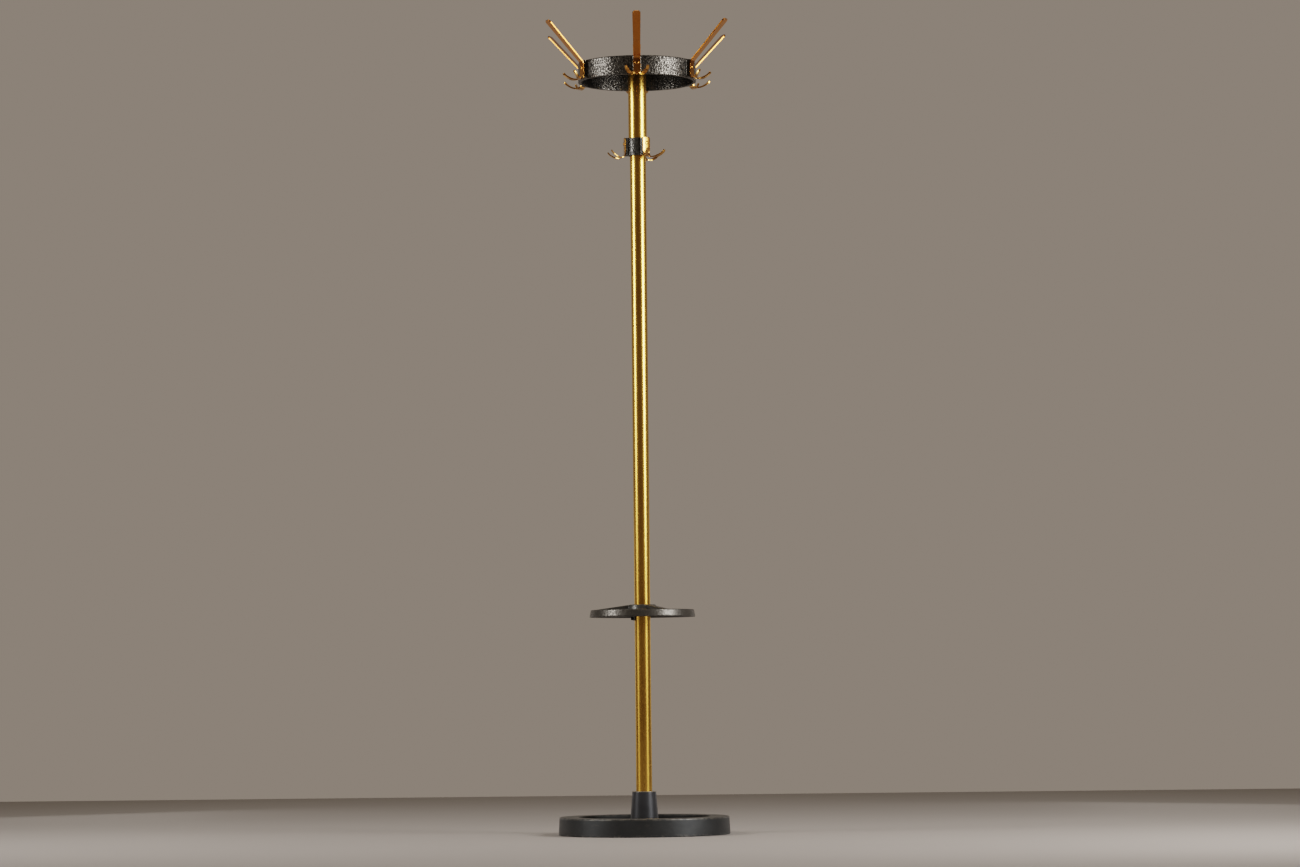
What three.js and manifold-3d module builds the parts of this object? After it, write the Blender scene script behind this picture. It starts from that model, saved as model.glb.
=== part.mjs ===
// A standing coat rack: a hollow cast base with a conical socket, a gold pole, an umbrella ring that slides on
// the pole, and a head that turns on top of it. The head is a sleeve with a collar of three coat hooks and a
// cast crown of six hat hooks. Millimetres, +Z up, origin on the floor at the centre of the base, front at -Y.
import * as THREE from 'three';
import { mergeVertices } from 'three/addons/utils/BufferGeometryUtils.js';
import Module from 'manifold-3d';

const wasm = await Module();
wasm.setup();

// ---- Driving dimensions ----
const GAP = 0.3; // between pieces that touch on the real object
const RUNNING_GAP = 0.1; // radial clearance of a bearing

const BASE = { foot: 188, rim: 186, height: 39.3, dish: 142, dishFloor: 18, wall: 8, plate: 7, boltHole: 5.8 };
const SOCKET = { top: 94.5, topRadius: 26, taper: 0.079, step: 6 };
const BOLT = { radius: 5, headRadius: 9.2, headHeight: 6, length: 44, washerRadius: 12, washerHeight: 2 };
const POLE = { radius: 17.5, wall: 1.5, top: 1656 };
const PLUG = { length: 20, flange: 4, pinRadius: 6, pinLength: 34 };
const NUT = { radius: 10.4, height: 8, washerRadius: 13, washerHeight: 1.5 };
const THRUST_WASHER = 2;

const SLEEVE = { radius: 20, wall: 1.5, top: 1696.5 };
const COLLAR = { bottom: 1494.6, top: 1533.6, radius: 22, padRadius: 28, padWidth: 18 };
const COAT_HOOK_AZIMUTHS = [40, -80, 160];
const TOP_RING = { bottom: 1658, top: 1700, radius: 130.5, wall: 7, padRadius: 137, padWidth: 17 };
const TOP_WEB = { hubRadius: 28, hubBottom: 1682, thickness: 4, recess: 1.2 };
const GRUB = { radius: 3, azimuth: 180, height: 1688, length: 8 };
const HAT_HOOKS = 6;

const HAT_ARM = { reach: 226.5, height: 1781.3, bend: 1693, bendLength: 6 };
const HAT_STRAP = { width: 16.5, waist: 14.6, tipWidth: 17.8, chamfer: 4, thickness: 3, lowest: 1655 };
const COAT_STRAP = { width: 19, thickness: 2, lowest: 1489 };
const PRONG = { width: 8.2, strapEnd: 10, steps: 12 };
const HAT_RIVET = { shank: 2.5, head: 4.5, headHeight: 2, height: 1682 };
const COAT_RIVET = { shank: 2, head: 3.8, headHeight: 1.6, height: 1521 };

const UMBRELLA = { bottom: 475.5, top: 491.5, foot: 116.5, radius: 113, inner: 108.5, hubTop: 503 };
const UMBRELLA_SPOKES = 3;
const UMBRELLA_HUB = { radius: 32, skirtRadius: 25, step: 488, bottom: 481, spokeWidth: 12, spokeDrop: 8 };
const CLAMP = { azimuth: -75, height: 473, lug: 20.8, lugWidth: 10, lugDrop: 5, shank: 2.5, head: 4, headLength: 4.4 };

const LARGE = 64; // segments round a large ring
const MEDIUM = 40; // segments round a tube
const SMALL = 12; // segments round a fastener
const BEARING = 24; // segments round the pivot pin

// ---- Finishes ----
const FINISHES = {
  basePaint: { color: 0x46494b, roughness: 0.75, metalness: 0.2 },
  socketPaint: { color: 0x3a3d45, roughness: 0.45, metalness: 0.3 },
  goldTube: { color: 0xc0903a, roughness: 0.28, metalness: 1 },
  brass: { color: 0xc98a3c, roughness: 0.25, metalness: 1 },
  hammered: { color: 0x2b2c2e, roughness: 0.3, metalness: 0.6 },
  steel: { color: 0x8f9194, roughness: 0.4, metalness: 1 },
  blackSteel: { color: 0x141414, roughness: 0.4, metalness: 0.6 },
  nylon: { color: 0xd9d5c8, roughness: 0.6, metalness: 0 },
  blackPlastic: { color: 0x18181a, roughness: 0.5, metalness: 0 },
};

// ---- Solids ----
function toSolid(geometry) {
  const bare = geometry.clone();
  bare.deleteAttribute('normal');
  bare.deleteAttribute('uv');
  const merged = mergeVertices(bare, 1e-4);
  const vertProperties = new Float32Array(merged.attributes.position.array);
  const triVerts = new Uint32Array(merged.index.array);
  return new wasm.Manifold(new wasm.Mesh({ numProp: 3, vertProperties, triVerts }));
}

function toGeometry(solid) {
  const mesh = solid.getMesh();
  const geometry = new THREE.BufferGeometry();
  geometry.setAttribute('position', new THREE.BufferAttribute(new Float32Array(mesh.vertProperties), 3));
  geometry.setIndex(new THREE.BufferAttribute(new Uint32Array(mesh.triVerts), 1));
  geometry.computeVertexNormals();
  return geometry;
}

function union(geometries) {
  return geometries.map(toSolid).reduce((sum, solid) => sum.add(solid));
}

// ---- Shapes ----
// A body of revolution about Z. The profile is a list of [radius, height], anticlockwise with radius to the
// right, and closed on itself or on the axis.
function turned(profile, segments) {
  const points = profile.map(([radius, height]) => new THREE.Vector2(radius, height));
  if (profile[0][0] > 0) {
    points.push(points[0].clone());
  }
  return new THREE.LatheGeometry(points, segments).rotateX(Math.PI / 2);
}

function tube(inner, outer, bottom, top, segments) {
  return turned([[inner, bottom], [outer, bottom], [outer, top], [inner, top]], segments);
}

function rod(radius, bottom, top, segments) {
  return turned([[0, bottom], [radius, bottom], [radius, top], [0, top]], segments);
}

// A piece turned about Z is laid along the front radius, so that its height becomes a distance from the axis.
function alongRadius(geometry, height) {
  return geometry.rotateX(Math.PI / 2).translate(0, 0, height);
}

// An outline in [distance from the axis, height], as thick as width across the front radius.
function sidePrism(outline, width) {
  const shape = new THREE.Shape(outline.map(([radius, height]) => new THREE.Vector2(radius, height)));
  const geometry = new THREE.ExtrudeGeometry(shape, { depth: width, bevelEnabled: false });
  const toFront = new THREE.Matrix4().makeBasis(
    new THREE.Vector3(0, -1, 0),
    new THREE.Vector3(0, 0, 1),
    new THREE.Vector3(-1, 0, 0),
  );
  return geometry.applyMatrix4(toFront).translate(width / 2, 0, 0);
}

// An outline in [sideways, height], seen from the front, reaching out to a distance from the axis.
function frontPrism(outline, reach) {
  const shape = new THREE.Shape(outline.map(([across, height]) => new THREE.Vector2(across, height)));
  return new THREE.ExtrudeGeometry(shape, { depth: reach, bevelEnabled: false }).rotateX(Math.PI / 2);
}

function radialBox(inner, outer, width, bottom, top) {
  return sidePrism([[inner, bottom], [outer, bottom], [outer, top], [inner, top]], width);
}

function radialHole(radius, inner, outer, height) {
  return toSolid(alongRadius(rod(radius, inner, outer, SMALL), height));
}

function mirrored(outline) {
  const left = outline.map(([across, height]) => [-across, height]).reverse();
  return [...outline, ...left];
}

function turnedBy(geometry, azimuth) {
  return geometry.rotateZ(THREE.MathUtils.degToRad(azimuth));
}

// ---- Stand ----
function baseCasting() {
  const { foot, rim, height, dish, dishFloor, wall, plate, boltHole } = BASE;
  const edge = 2.5;
  const hollow = dish + wall;
  return turned([
    [boltHole, dishFloor - plate],
    [hollow, dishFloor - plate],
    [hollow + 1, height - wall],
    [rim - wall, height - wall],
    [foot - wall - 1, 0],
    [foot, 0],
    [rim, height - edge],
    [rim - edge, height],
    [dish + edge, height],
    [dish, height - edge],
    [dish - 2, dishFloor],
    [boltHole, dishFloor],
  ], LARGE);
}

function poleSocket() {
  const { top, topRadius, taper, step } = SOCKET;
  const bottom = BASE.dishFloor + GAP;
  const bore = POLE.radius + GAP;
  return turned([
    [BASE.boltHole, bottom],
    [topRadius + (top - bottom) * taper, bottom],
    [topRadius + 0.1, top - 1.2],
    [topRadius - 1.2, top],
    [bore, top],
    [bore, bottom + step],
    [BASE.boltHole, bottom + step],
  ], MEDIUM);
}

const poleBottom = BASE.dishFloor + SOCKET.step + 2 * GAP;
const poleBore = POLE.radius - POLE.wall;

function footPlug() {
  const bottom = poleBottom + GAP;
  return tube(BOLT.radius + GAP, poleBore - GAP, bottom, bottom + PLUG.length, MEDIUM);
}

const washerTop = BASE.dishFloor - BASE.plate - GAP;
const boltHeadTop = washerTop - BOLT.washerHeight - GAP;

function baseBolt() {
  const head = rod(BOLT.headRadius, boltHeadTop - BOLT.headHeight, boltHeadTop, 6);
  const shank = rod(BOLT.radius, boltHeadTop - 1, boltHeadTop + BOLT.length, SMALL);
  return toGeometry(union([head, shank]));
}

function baseWasher() {
  return tube(BOLT.radius + GAP, BOLT.washerRadius, washerTop - BOLT.washerHeight, washerTop, MEDIUM);
}

const plugTop = POLE.top + GAP + PLUG.flange;

function poleTopPlug() {
  const seat = POLE.top + GAP;
  return turned([
    [0, seat - PLUG.length],
    [poleBore - GAP, seat - PLUG.length],
    [poleBore - GAP, seat],
    [POLE.radius - GAP, seat],
    [POLE.radius - GAP, plugTop],
    [PLUG.pinRadius, plugTop],
    [PLUG.pinRadius, plugTop + PLUG.pinLength],
    [0, plugTop + PLUG.pinLength],
  ], BEARING);
}

const thrustBottom = plugTop + GAP;
const bearingBottom = thrustBottom + THRUST_WASHER + GAP;
const bearingTop = bearingBottom + 18;
const pivotWasherBottom = bearingTop + GAP;
const nutBottom = pivotWasherBottom + NUT.washerHeight + GAP;

function pivotNut() {
  const hexagon = toSolid(rod(NUT.radius, nutBottom, nutBottom + NUT.height, 6));
  const thread = toSolid(rod(PLUG.pinRadius + GAP, nutBottom - 1, nutBottom + NUT.height + 1, BEARING));
  return toGeometry(hexagon.subtract(thread));
}

// ---- Hooks ----
// The centre line of a bent strip, thickened to both sides in its own plane.
function stripOutline(path, thickness) {
  const points = path.getPoints(5);
  const normals = points.map((point, i) => {
    const before = points[Math.max(i - 1, 0)];
    const after = points[Math.min(i + 1, points.length - 1)];
    const along = after.clone().sub(before).normalize();
    return new THREE.Vector2(-along.y, along.x).multiplyScalar(thickness / 2);
  });
  const left = points.map((point, i) => point.clone().add(normals[i]).toArray());
  const right = points.map((point, i) => point.clone().sub(normals[i]).toArray());
  return [...left, ...right.reverse()];
}

// The route of one prong. Its flat section stays square to the plane in which the strap is bent.
class ProngPath extends THREE.CatmullRomCurve3 {
  computeFrenetFrames(segments) {
    const frames = { tangents: [], normals: [], binormals: [] };
    for (let i = 0; i <= segments; i += 1) {
      const tangent = this.getTangentAt(i / segments);
      const thick = new THREE.Vector3(0, -tangent.z, tangent.y).normalize();
      frames.tangents.push(tangent);
      frames.normals.push(thick);
      frames.binormals.push(new THREE.Vector3().crossVectors(tangent, thick));
    }
    return frames;
  }
}

// One prong, from inside the strap's end round its lowest point and up to the tip. Side is -1 or 1.
function prong(side, strapRadius, lowest, thickness) {
  const half = PRONG.width / 2;
  const route = [
    [half + 0.2, 0, 14],
    [half + 0.2, 0, 9],
    [half + 0.5, 3.4, 2.4],
    [7.2, 10.2, 0],
    [14.5, 17.5, 1],
    [20, 25.2, 5.4],
    [23, 30.8, 10.2],
    [24.2, 34, 14.5],
  ];
  const base = lowest + thickness / 2;
  const points = route.map(([across, out, up]) => new THREE.Vector3(side * across, -strapRadius - out, base + up));
  const section = new THREE.Shape([
    new THREE.Vector2(-thickness / 2, -half),
    new THREE.Vector2(thickness / 2, -half),
    new THREE.Vector2(thickness / 2, half),
    new THREE.Vector2(-thickness / 2, half),
  ]);
  const extrudePath = new ProngPath(points);
  return new THREE.ExtrudeGeometry(section, { steps: PRONG.steps, extrudePath, bevelEnabled: false });
}

function bothProngs(strapRadius, lowest, thickness) {
  return union([-1, 1].map((side) => prong(side, strapRadius, lowest, thickness)));
}

// A flat strip: an arm up and out, a strap down the ring's pad, and two prongs below.
function hatHook() {
  const { width, waist, tipWidth, chamfer, thickness, lowest } = HAT_STRAP;
  const radius = TOP_RING.padRadius + GAP + thickness / 2;
  const strapEnd = lowest + thickness / 2 + PRONG.strapEnd;
  const arm = new THREE.Vector2(HAT_ARM.reach - radius, HAT_ARM.height - HAT_ARM.bend).normalize();
  const centreLine = new THREE.Path();
  centreLine.moveTo(HAT_ARM.reach, HAT_ARM.height);
  centreLine.lineTo(radius + arm.x * HAT_ARM.bendLength, HAT_ARM.bend + arm.y * HAT_ARM.bendLength);
  centreLine.quadraticCurveTo(radius, HAT_ARM.bend, radius, HAT_ARM.bend - HAT_ARM.bendLength);
  centreLine.lineTo(radius, strapEnd);
  const bent = toSolid(sidePrism(stripOutline(centreLine, thickness), 2 * width));
  const tipCorner = HAT_ARM.height - chamfer * arm.y;
  const front = frontPrism(mirrored([
    [width / 2, strapEnd - 1],
    [width / 2, HAT_ARM.bend - 10],
    [waist / 2, HAT_ARM.bend],
    [tipWidth / 2, tipCorner],
    [tipWidth / 2 - chamfer, HAT_ARM.height],
    [tipWidth / 2 - chamfer, HAT_ARM.height + thickness],
  ]), HAT_ARM.reach + thickness);
  const hole = radialHole(HAT_RIVET.shank + GAP, radius - 5, radius + 5, HAT_RIVET.height);
  const strip = bent.intersect(toSolid(front)).subtract(hole);
  return toGeometry(strip.add(bothProngs(radius, lowest, thickness)));
}

// A flat strap on the collar's pad with two prongs below.
function coatHook() {
  const { width, thickness, lowest } = COAT_STRAP;
  const inner = COLLAR.padRadius + GAP;
  const strapEnd = lowest + thickness / 2 + PRONG.strapEnd;
  const strap = toSolid(radialBox(inner, inner + thickness, width, strapEnd, COLLAR.top));
  const hole = radialHole(COAT_RIVET.shank + GAP, inner - 5, inner + 5, COAT_RIVET.height);
  return toGeometry(strap.subtract(hole).add(bothProngs(inner + thickness / 2, lowest, thickness)));
}

// A rivet laid along the radius, from its inner end to its domed outer head.
function rivet({ shank, head, headHeight, height }, inner, headSeat, innerHead) {
  const tail = innerHead
    ? [[0, inner - headHeight], [head - 1, inner - headHeight], [head, inner], [shank, inner]]
    : [[0, inner], [shank, inner]];
  const profile = [
    ...tail,
    [shank, headSeat],
    [head, headSeat],
    [head - 0.8, headSeat + 0.6 * headHeight],
    [head / 2, headSeat + headHeight],
    [0, headSeat + headHeight],
  ];
  return alongRadius(turned(profile, SMALL), height);
}

function hatRivet() {
  const inner = TOP_RING.radius - TOP_RING.wall - GAP;
  return rivet(HAT_RIVET, inner, TOP_RING.padRadius + HAT_STRAP.thickness + 2 * GAP, true);
}

function coatRivet() {
  return rivet(COAT_RIVET, SLEEVE.radius + GAP, COLLAR.padRadius + COAT_STRAP.thickness + 2 * GAP, false);
}

// ---- Head ----
const sleeveBore = SLEEVE.radius - SLEEVE.wall;
const collarStep = (COLLAR.bottom + COLLAR.top) / 2;
const collarBore = sleeveBore + 0.1;

function hookCollar() {
  const body = rod(COLLAR.radius, COLLAR.bottom, COLLAR.top, MEDIUM);
  const pads = COAT_HOOK_AZIMUTHS.map((azimuth) => turnedBy(
    radialBox(0, COLLAR.padRadius, COLLAR.padWidth, COLLAR.bottom, COLLAR.top), azimuth));
  const bore = toSolid(rod(collarBore, COLLAR.bottom - 1, COLLAR.top, MEDIUM));
  const counterbore = toSolid(rod(SLEEVE.radius + GAP, collarStep, COLLAR.top + 1, MEDIUM));
  let collar = union([body, ...pads]).subtract(bore).subtract(counterbore);
  for (const azimuth of COAT_HOOK_AZIMUTHS) {
    const hole = radialHole(COAT_RIVET.shank + GAP, SLEEVE.radius, COLLAR.padRadius + 5, COAT_RIVET.height);
    collar = collar.subtract(hole.rotate([0, 0, azimuth]));
  }
  return toGeometry(collar);
}

// A thin bush that runs on the pole.
function poleBush(outer, bottom, length) {
  return tube(POLE.radius + RUNNING_GAP, outer, bottom, bottom + length, MEDIUM);
}

function bearingPlug() {
  return tube(PLUG.pinRadius + RUNNING_GAP, sleeveBore - GAP, bearingBottom, bearingTop, BEARING);
}

const hookAzimuths = Array.from({ length: HAT_HOOKS }, (_, i) => (360 * i) / HAT_HOOKS);

// A band closed on top by a web with a hub in its middle, so it is open only below.
function topRing() {
  const { bottom, top, radius, wall, padRadius, padWidth } = TOP_RING;
  const { hubRadius, hubBottom, thickness, recess } = TOP_WEB;
  const edge = 1.2;
  const band = turned([
    [radius - wall, bottom + edge],
    [radius - wall + edge, bottom],
    [radius - edge, bottom],
    [radius, bottom + edge],
    [radius, top - edge],
    [radius - edge, top],
    [radius - wall + edge, top],
    [radius - wall, top - edge],
  ], LARGE);
  const pads = hookAzimuths.map((azimuth) => turnedBy(
    radialBox(radius - wall / 2, padRadius, padWidth, bottom + edge, top - edge), azimuth));
  const web = rod(radius - wall / 2, top - recess - thickness, top - recess, LARGE);
  const hub = rod(hubRadius, hubBottom, top, MEDIUM);
  let ring = union([band, ...pads, web, hub]);
  ring = ring.subtract(toSolid(rod(SLEEVE.radius + GAP, hubBottom - 1, top + 1, MEDIUM)));
  for (const azimuth of hookAzimuths) {
    const hole = radialHole(HAT_RIVET.shank + GAP, radius - wall - 5, padRadius + 5, HAT_RIVET.height);
    ring = ring.subtract(hole.rotate([0, 0, azimuth]));
  }
  const screwHole = radialHole(GRUB.radius + GAP, SLEEVE.radius - 3, TOP_WEB.hubRadius + 5, GRUB.height);
  return toGeometry(ring.subtract(screwHole.rotate([0, 0, GRUB.azimuth])));
}

// The screw that locks the crown to the sleeve, at the back of the hub, under the web.
function grubScrew() {
  const inner = SLEEVE.radius + GAP;
  return alongRadius(rod(GRUB.radius, inner, inner + GRUB.length, SMALL), GRUB.height);
}

// A push-in cap with a hollow skirt over the pivot nut.
function hubCap() {
  const seat = TOP_RING.top + GAP;
  return turned([
    [0, seat - 1.5],
    [sleeveBore - 2, seat - 1.5],
    [sleeveBore - 2, seat - 9],
    [sleeveBore - GAP, seat - 9],
    [sleeveBore - GAP, seat],
    [SLEEVE.radius + 2, seat],
    [SLEEVE.radius + 1.5, seat + 1.5],
    [SLEEVE.radius - 4, seat + 3],
    [0, seat + 3.6],
  ], MEDIUM);
}

// ---- Umbrella ring ----
function umbrellaRing() {
  const { bottom, top, foot, radius, inner, hubTop } = UMBRELLA;
  const { skirtRadius, step, spokeWidth, spokeDrop } = UMBRELLA_HUB;
  const band = turned([
    [inner, bottom + 3.5],
    [inner + 1.5, bottom + 1.2],
    [inner + 4, bottom],
    [foot - 1.5, bottom],
    [foot, bottom + 1.5],
    [radius + 0.4, top - 0.8],
    [radius - 0.6, top],
    [inner + 1, top],
    [inner, top - 1],
  ], LARGE);
  const hub = turned([
    [0, UMBRELLA_HUB.bottom],
    [skirtRadius, UMBRELLA_HUB.bottom],
    [skirtRadius, step],
    [UMBRELLA_HUB.radius, step + 3],
    [UMBRELLA_HUB.radius - 1, hubTop - 1.5],
    [UMBRELLA_HUB.radius - 3, hubTop],
    [0, hubTop],
  ], MEDIUM);
  const spoke = [
    [POLE.radius - 5, hubTop - spokeDrop - 1],
    [UMBRELLA_HUB.radius, hubTop - spokeDrop - 1],
    [inner + 2, top - spokeDrop - 0.5],
    [inner + 2, top - 0.5],
    [UMBRELLA_HUB.radius, hubTop - 1],
    [POLE.radius - 5, hubTop - 1],
  ];
  const spokes = Array.from({ length: UMBRELLA_SPOKES }, (_, i) => turnedBy(
    sidePrism(spoke, spokeWidth), (360 * i) / UMBRELLA_SPOKES - 90));
  const lug = turnedBy(radialBox(POLE.radius - 5, CLAMP.lug, CLAMP.lugWidth, CLAMP.height - CLAMP.lugDrop,
    UMBRELLA_HUB.bottom + 3), CLAMP.azimuth);
  const bore = toSolid(rod(POLE.radius + GAP, bottom - 20, hubTop + 1, MEDIUM));
  const screwHole = radialHole(CLAMP.shank + GAP, 0, CLAMP.lug + 5, CLAMP.height);
  const ring = union([band, hub, ...spokes, lug]).subtract(bore);
  return toGeometry(ring.subtract(screwHole.rotate([0, 0, CLAMP.azimuth])));
}

function clampScrew() {
  const seat = CLAMP.lug + GAP;
  const end = seat + CLAMP.headLength;
  return alongRadius(turned([
    [0, POLE.radius + 2 * GAP],
    [CLAMP.shank, POLE.radius + 2 * GAP],
    [CLAMP.shank, seat],
    [CLAMP.head, seat],
    [CLAMP.head, end - 0.8],
    [CLAMP.head - 0.8, end],
    [0, end],
  ], SMALL), CLAMP.height);
}

// ---- Assembly ----
function piece(name, geometry, finish) {
  const mesh = new THREE.Mesh(geometry, new THREE.MeshStandardMaterial(FINISHES[finish]));
  mesh.name = name;
  return mesh;
}

// A group turned about the pole's axis, for pieces that are made at the front.
function atAzimuth(azimuth, ...pieces) {
  const group = new THREE.Group();
  group.rotation.z = THREE.MathUtils.degToRad(azimuth);
  group.add(...pieces);
  return group;
}

const stand = new THREE.Group();
stand.add(
  piece('base_casting', baseCasting(), 'basePaint'),
  piece('pole_socket', poleSocket(), 'socketPaint'),
  piece('base_bolt', baseBolt(), 'steel'),
  piece('base_washer', baseWasher(), 'steel'),
  piece('foot_plug', footPlug(), 'steel'),
  piece('pole_tube', tube(poleBore, POLE.radius, poleBottom, POLE.top, MEDIUM), 'goldTube'),
  piece('pole_top_plug', poleTopPlug(), 'steel'),
  piece('thrust_washer', tube(PLUG.pinRadius + GAP, POLE.radius - GAP, thrustBottom,
    thrustBottom + THRUST_WASHER, MEDIUM), 'nylon'),
  piece('pivot_washer', tube(PLUG.pinRadius + GAP, NUT.washerRadius, pivotWasherBottom,
    pivotWasherBottom + NUT.washerHeight, BEARING), 'steel'),
  piece('pivot_nut', pivotNut(), 'steel'),
);

const head = new THREE.Group();
head.add(
  piece('head_sleeve', tube(sleeveBore, SLEEVE.radius, collarStep + GAP, SLEEVE.top, MEDIUM), 'goldTube'),
  piece('hook_collar', hookCollar(), 'hammered'),
  piece('collar_bush', poleBush(collarBore - GAP, COLLAR.bottom + 1, 16), 'nylon'),
  piece('sleeve_bush', poleBush(sleeveBore - GAP, POLE.top - 30, 24), 'nylon'),
  piece('bearing_plug', bearingPlug(), 'steel'),
  piece('top_ring', topRing(), 'hammered'),
  atAzimuth(GRUB.azimuth, piece('top_ring_grub_screw', grubScrew(), 'blackSteel')),
  piece('hub_cap', hubCap(), 'blackPlastic'),
);
COAT_HOOK_AZIMUTHS.forEach((azimuth, i) => head.add(atAzimuth(
  azimuth,
  piece(`coat_hook_${i + 1}`, coatHook(), 'brass'),
  piece(`coat_hook_rivet_${i + 1}`, coatRivet(), 'brass'),
)));
hookAzimuths.forEach((azimuth, i) => head.add(atAzimuth(
  azimuth,
  piece(`hat_hook_${i + 1}`, hatHook(), 'brass'),
  piece(`hat_hook_rivet_${i + 1}`, hatRivet(), 'brass'),
)));

const umbrella = new THREE.Group();
umbrella.add(
  piece('umbrella_ring', umbrellaRing(), 'hammered'),
  atAzimuth(CLAMP.azimuth, piece('clamp_screw', clampScrew(), 'blackSteel')),
);

const coatRack = new THREE.Group();
coatRack.add(stand, head, umbrella);

export default coatRack;
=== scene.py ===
import math

import bpy
from mathutils import Matrix, Vector, noise


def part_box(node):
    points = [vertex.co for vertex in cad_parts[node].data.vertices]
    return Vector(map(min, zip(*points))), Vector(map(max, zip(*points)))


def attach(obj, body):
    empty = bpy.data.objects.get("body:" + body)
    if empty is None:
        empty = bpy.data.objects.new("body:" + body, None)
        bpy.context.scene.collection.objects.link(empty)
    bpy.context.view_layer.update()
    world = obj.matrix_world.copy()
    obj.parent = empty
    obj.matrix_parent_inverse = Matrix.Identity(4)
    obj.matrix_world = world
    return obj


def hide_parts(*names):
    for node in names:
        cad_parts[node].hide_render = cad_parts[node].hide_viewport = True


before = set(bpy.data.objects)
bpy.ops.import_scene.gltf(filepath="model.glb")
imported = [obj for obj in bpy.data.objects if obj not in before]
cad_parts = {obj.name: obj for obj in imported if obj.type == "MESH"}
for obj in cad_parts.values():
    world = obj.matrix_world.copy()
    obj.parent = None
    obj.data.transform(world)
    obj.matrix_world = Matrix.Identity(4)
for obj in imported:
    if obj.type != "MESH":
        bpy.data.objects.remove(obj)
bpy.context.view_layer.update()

MM = 0.001


# ---- Places, from the CAD frame ----
def span(node):
    """The lowest and highest corner of a CAD node, in millimetres."""
    low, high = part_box(node)
    return low / MM, high / MM


_, BASE_HIGH = span("base_casting")
SOCKET_LOW, SOCKET_HIGH = span("pole_socket")
_, POLE_HIGH = span("pole_tube")
_, SLEEVE_HIGH = span("head_sleeve")
COLLAR_LOW, COLLAR_HIGH = span("hook_collar")
RING_LOW, RING_HIGH = span("top_ring")
_, UMBRELLA_HIGH = span("umbrella_ring")
CAP_LOW, CAP_HIGH = span("hub_cap")
BOLT_LOW, BOLT_HIGH = span("base_bolt")
WASHER_LOW, WASHER_HIGH = span("base_washer")
FRONT_HOOK_LOW, FRONT_HOOK_HIGH = span("hat_hook_1")

COAT_HOOK_AZIMUTHS = (40, -80, 160)
HAT_HOOK_AZIMUTHS = (0, 60, 120, 180, 240, 300)
UMBRELLA_SPOKE_AZIMUTHS = (-90, 30, 150)
UMBRELLA_HUB = 32
CLAMP_AZIMUTH = -75
CLAMP_HEIGHT = 473
CLAMP_LUG = 20.8
GRUB_AZIMUTH = 180
DISH_RADIUS = 142


# ---- Camera ----
LENS = 112.15
CAMERA_PLACE = Vector((0.0, -8.905, 0.3242))
CAMERA_PITCH = math.radians(3.568)
CAMERA_YAW = math.radians(0.133)
CAMERA_ROLL = math.radians(0.585)


def add_camera():
    forward = Vector((math.sin(CAMERA_YAW), math.cos(CAMERA_YAW), math.tan(CAMERA_PITCH))).normalized()
    right = forward.cross(Vector((0, 0, 1))).normalized()
    up = right.cross(forward)
    tilted_right = right * math.cos(CAMERA_ROLL) - up * math.sin(CAMERA_ROLL)
    tilted_up = up * math.cos(CAMERA_ROLL) + right * math.sin(CAMERA_ROLL)
    camera = bpy.data.objects.new("camera", bpy.data.cameras.new("camera"))
    camera.data.sensor_width = 36
    camera.data.lens = LENS
    camera.data.clip_end = 200
    turn = Matrix((tilted_right, tilted_up, -forward)).transposed()
    camera.matrix_world = Matrix.Translation(CAMERA_PLACE) @ turn.to_4x4()
    bpy.context.scene.collection.objects.link(camera)
    bpy.context.scene.camera = camera


# ---- Light ----
def outward(azimuth):
    """The level direction at an azimuth from the front, in degrees, positive to the viewer's right."""
    angle = math.radians(azimuth)
    return Vector((math.sin(angle), -math.cos(angle), 0))


def softbox(name, azimuth, distance, bottom, top, width, radiance, colour=(1, 0.95, 0.88)):
    """An upright area light that faces the pole. Sizes and heights are in metres."""
    light = bpy.data.lights.new(name, "AREA")
    light.shape = "RECTANGLE"
    light.size = width
    light.size_y = top - bottom
    light.energy = radiance * math.pi * light.size * light.size_y
    light.color = colour
    lamp = bpy.data.objects.new(name, light)
    place = outward(azimuth) * distance + Vector((0, 0, (top + bottom) / 2))
    lamp.location = place
    lamp.rotation_euler = outward(azimuth).to_track_quat("Z", "Y").to_euler()
    lamp.visible_camera = False
    bpy.context.scene.collection.objects.link(lamp)
    return lamp


def overhead(name, place, size, radiance, colour=(1, 0.97, 0.93)):
    light = bpy.data.lights.new(name, "AREA")
    light.size = size
    light.energy = radiance * math.pi * size * size
    light.color = colour
    lamp = bpy.data.objects.new(name, light)
    lamp.location = place
    lamp.rotation_euler = Vector(place).to_track_quat("Z", "Y").to_euler()
    lamp.visible_camera = False
    bpy.context.scene.collection.objects.link(lamp)


def srgb(red, green, blue):
    """A linear colour from its 0 to 255 display values."""
    values = [v / 255 for v in (red, green, blue)]
    return tuple(v / 12.92 if v <= 0.04045 else ((v + 0.055) / 1.055) ** 2.4 for v in values) + (1,)


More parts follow.
